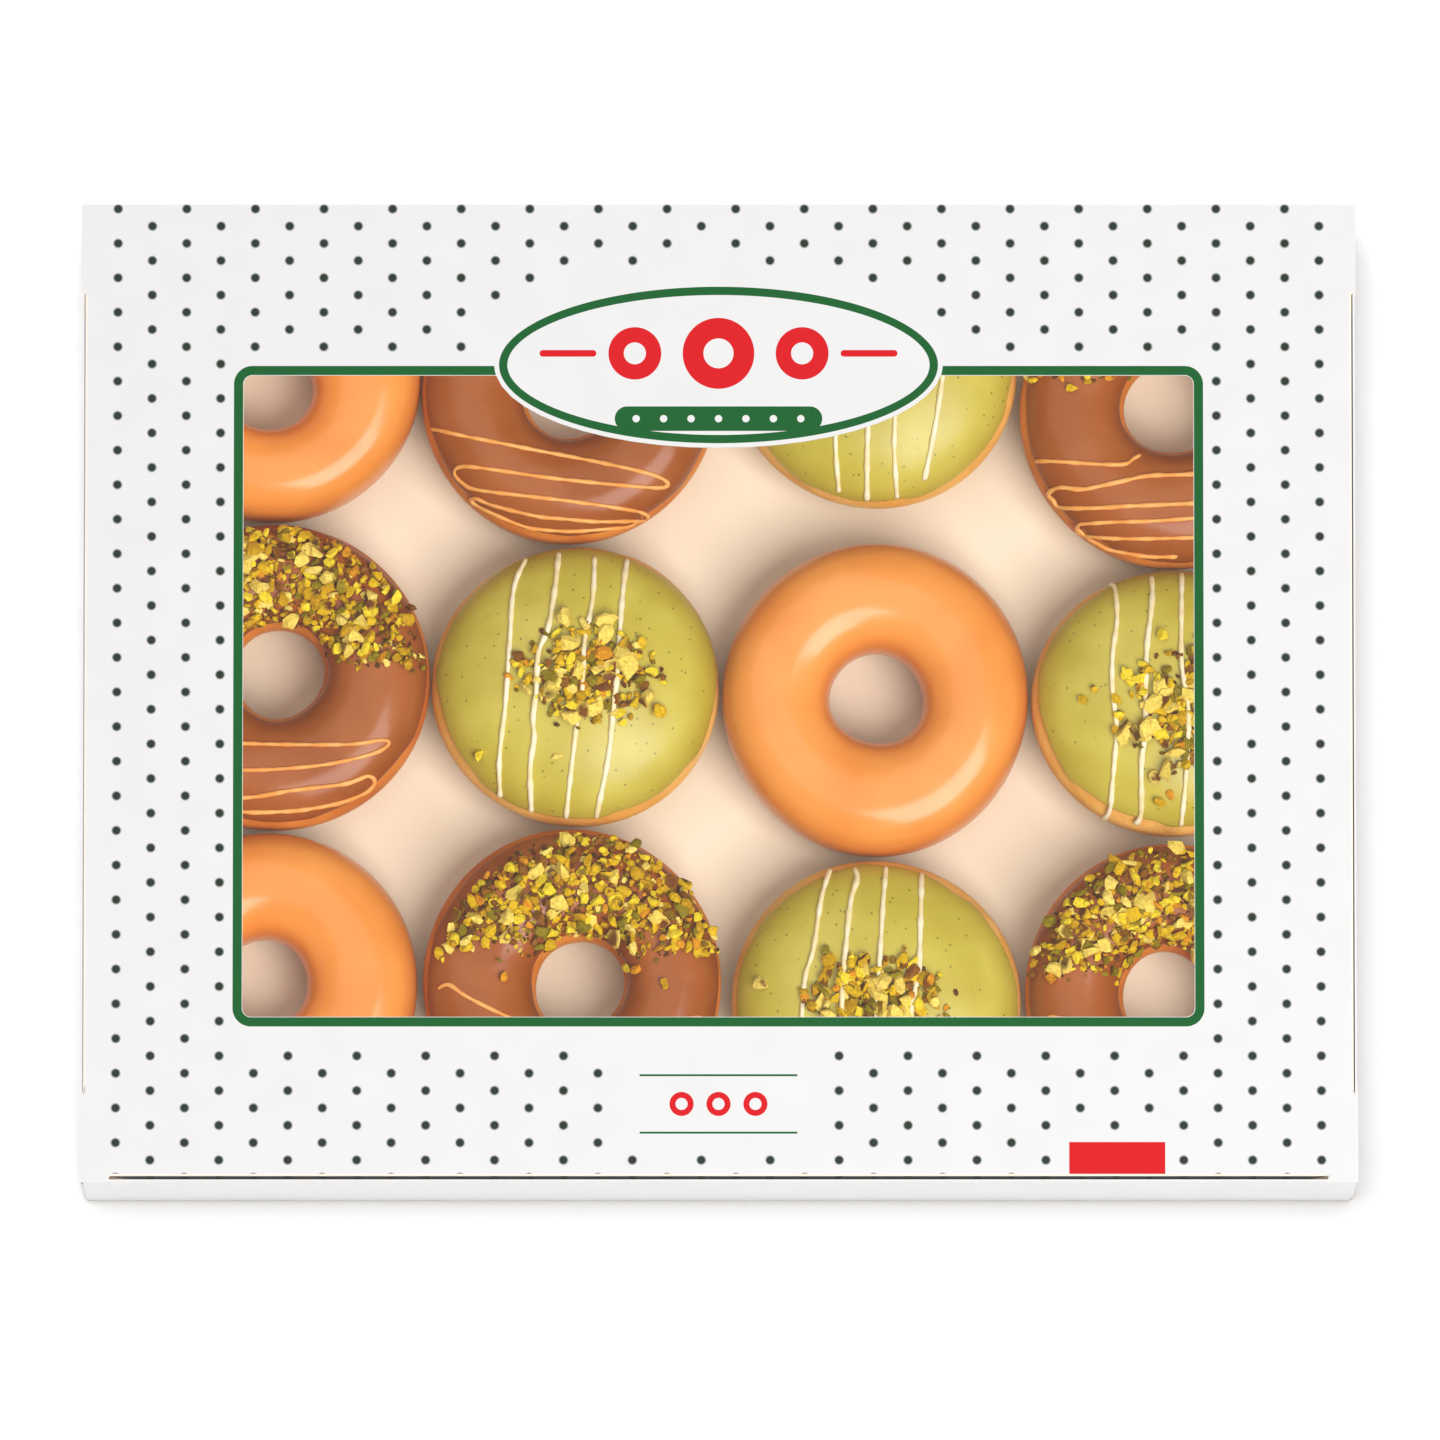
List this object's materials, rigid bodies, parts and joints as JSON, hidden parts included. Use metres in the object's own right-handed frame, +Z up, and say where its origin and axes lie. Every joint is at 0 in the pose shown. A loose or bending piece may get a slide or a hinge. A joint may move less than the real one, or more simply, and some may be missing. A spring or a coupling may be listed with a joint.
{
  "type": "box of doughnuts",
  "caption": "Flat white takeaway carton of ring and filled doughnuts, seen through a film window in its creased lid, which opens at the back.",
  "frame": {"origin": "middle of the carton's underside, on the surface that it stands on", "axes": "+X to the right along the carton's long side, +Y to the back, where the lid is creased, +Z up"},
  "size_m": [0.381, 0.294, 0.057],
  "materials": {
    "board": "matte coated white, printed with dark dots, a green window line and one red field",
    "film": "clear thin film",
    "dough": "soft fried dough, golden",
    "glazed_dough": "golden dough under a clear sugar glaze",
    "chocolate_icing": "milk chocolate icing with nut crumbs and caramel drizzle",
    "pistachio_icing": "pale yellow-green icing with cream drizzle and nut crumbs"
  },
  "bodies": {
    "base": {"tray": "board", "dough_r1c1": "glazed_dough", "dough_r1c2": "dough", "icing_r1c2": "chocolate_icing", "dough_r1c3": "dough", "icing_r1c3": "pistachio_icing", "dough_r1c4": "dough", "icing_r1c4": "chocolate_icing", "dough_r2c1": "dough", "icing_r2c1": "chocolate_icing", "dough_r2c2": "dough", "icing_r2c2": "pistachio_icing", "dough_r2c3": "glazed_dough", "dough_r2c4": "dough", "icing_r2c4": "pistachio_icing", "dough_r3c1": "glazed_dough", "dough_r3c2": "dough", "icing_r3c2": "chocolate_icing", "dough_r3c3": "dough", "icing_r3c3": "pistachio_icing", "dough_r3c4": "dough", "icing_r3c4": "chocolate_icing"},
    "lid": {"lid": "board", "window_film": "film"}
  },
  "joints": [
    {"name": "lid_hinge", "type": "hinge", "parent": "base", "child": "lid", "pos_m": [0, 0.147, 0.0564], "axis": [-1, 0, 0], "range_deg": [0, 180]}
  ]
}
